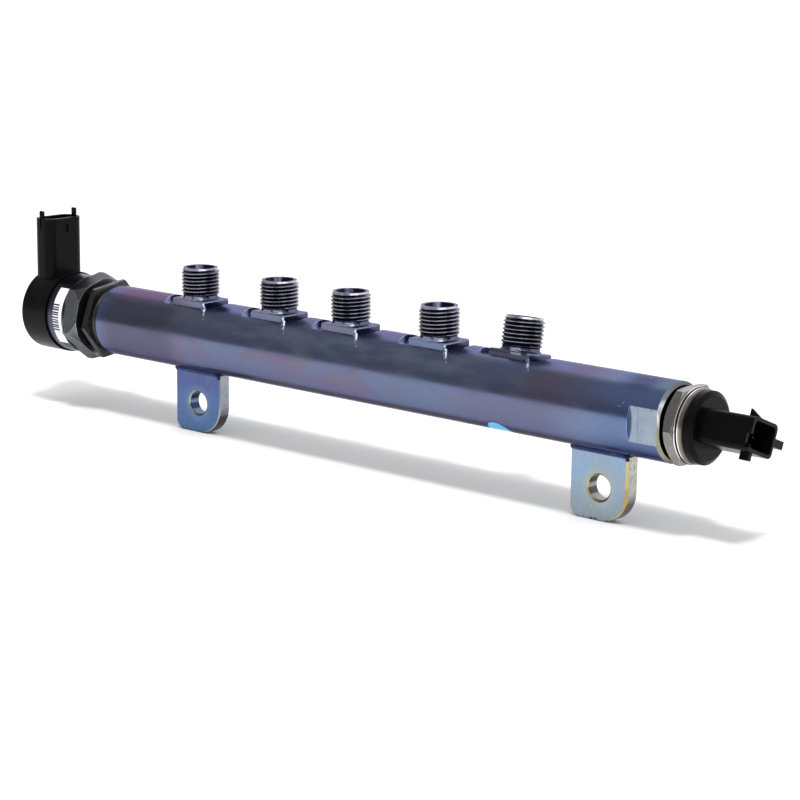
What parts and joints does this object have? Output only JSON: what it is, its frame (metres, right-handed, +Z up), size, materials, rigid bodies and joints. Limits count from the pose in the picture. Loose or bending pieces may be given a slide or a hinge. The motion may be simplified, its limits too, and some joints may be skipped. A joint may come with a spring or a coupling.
{
  "type": "fuel rail",
  "caption": "High-pressure common fuel rail: round steel tube with threaded outlet ports, bracket plates, a pressure-control valve at one end and a pressure sensor at the other.",
  "frame": {"origin": "midway between the centres of the two bracket holes, in the plates' mid plane", "axes": "+X along the rail from the valve to the sensor, +Y through the bracket holes towards the engine, +Z up from the brackets to the ports"},
  "size_m": [0.3737, 0.0362, 0.0859],
  "materials": {
    "rail_plating": "satin",
    "bracket_plating": "satin",
    "weld": "satin",
    "black_steel": "satin",
    "grey_steel": "satin",
    "bright_steel": "satin",
    "hard_steel": "polished",
    "soft_iron": "satin",
    "copper": "satin",
    "bobbin_plastic": "matte",
    "black_plastic": "matte",
    "label_film": "matte",
    "tinned_brass": "satin",
    "seal_rubber": "matte",
    "backup_plastic": "matte",
    "circuit_board": "matte",
    "crimp_steel": "satin"
  },
  "bodies": {
    "root": {"rail_body": "rail_plating", "bracket_left": "bracket_plating", "bracket_right": "bracket_plating", "bracket_weld_left": "weld", "bracket_weld_right": "weld", "valve_union_nut": "black_steel", "valve_housing": "grey_steel", "valve_can": "grey_steel", "valve_body": "bright_steel", "valve_core_cup": "bright_steel", "valve_flux_ring": "bright_steel", "sensor_body": "bright_steel", "sensor_element": "bright_steel", "valve_seat": "hard_steel", "valve_spring": "hard_steel", "valve_winding": "copper", "valve_bobbin": "bobbin_plastic", "valve_cap": "black_plastic", "sensor_connector": "black_plastic", "valve_label": "label_film", "valve_terminal_front": "tinned_brass", "valve_terminal_back": "tinned_brass", "sensor_terminal_front": "tinned_brass", "sensor_terminal_middle": "tinned_brass", "sensor_terminal_back": "tinned_brass", "sensor_contacts": "tinned_brass", "valve_nose_oring": "seal_rubber", "sensor_seal": "seal_rubber", "valve_backup_ring": "backup_plastic", "sensor_board": "circuit_board", "sensor_shell": "crimp_steel"},
    "armature": {"valve_armature": "soft_iron", "valve_pin": "hard_steel", "valve_ball": "hard_steel"}
  },
  "joints": [
    {"name": "armature_slide", "type": "slide", "parent": "root", "child": "armature", "axis": [-1, 0, 0], "range_m": [0, 0.00025], "stiffness_N_per_m": 5000, "springref_m": -0.002, "deforming": ["valve_spring"]}
  ]
}
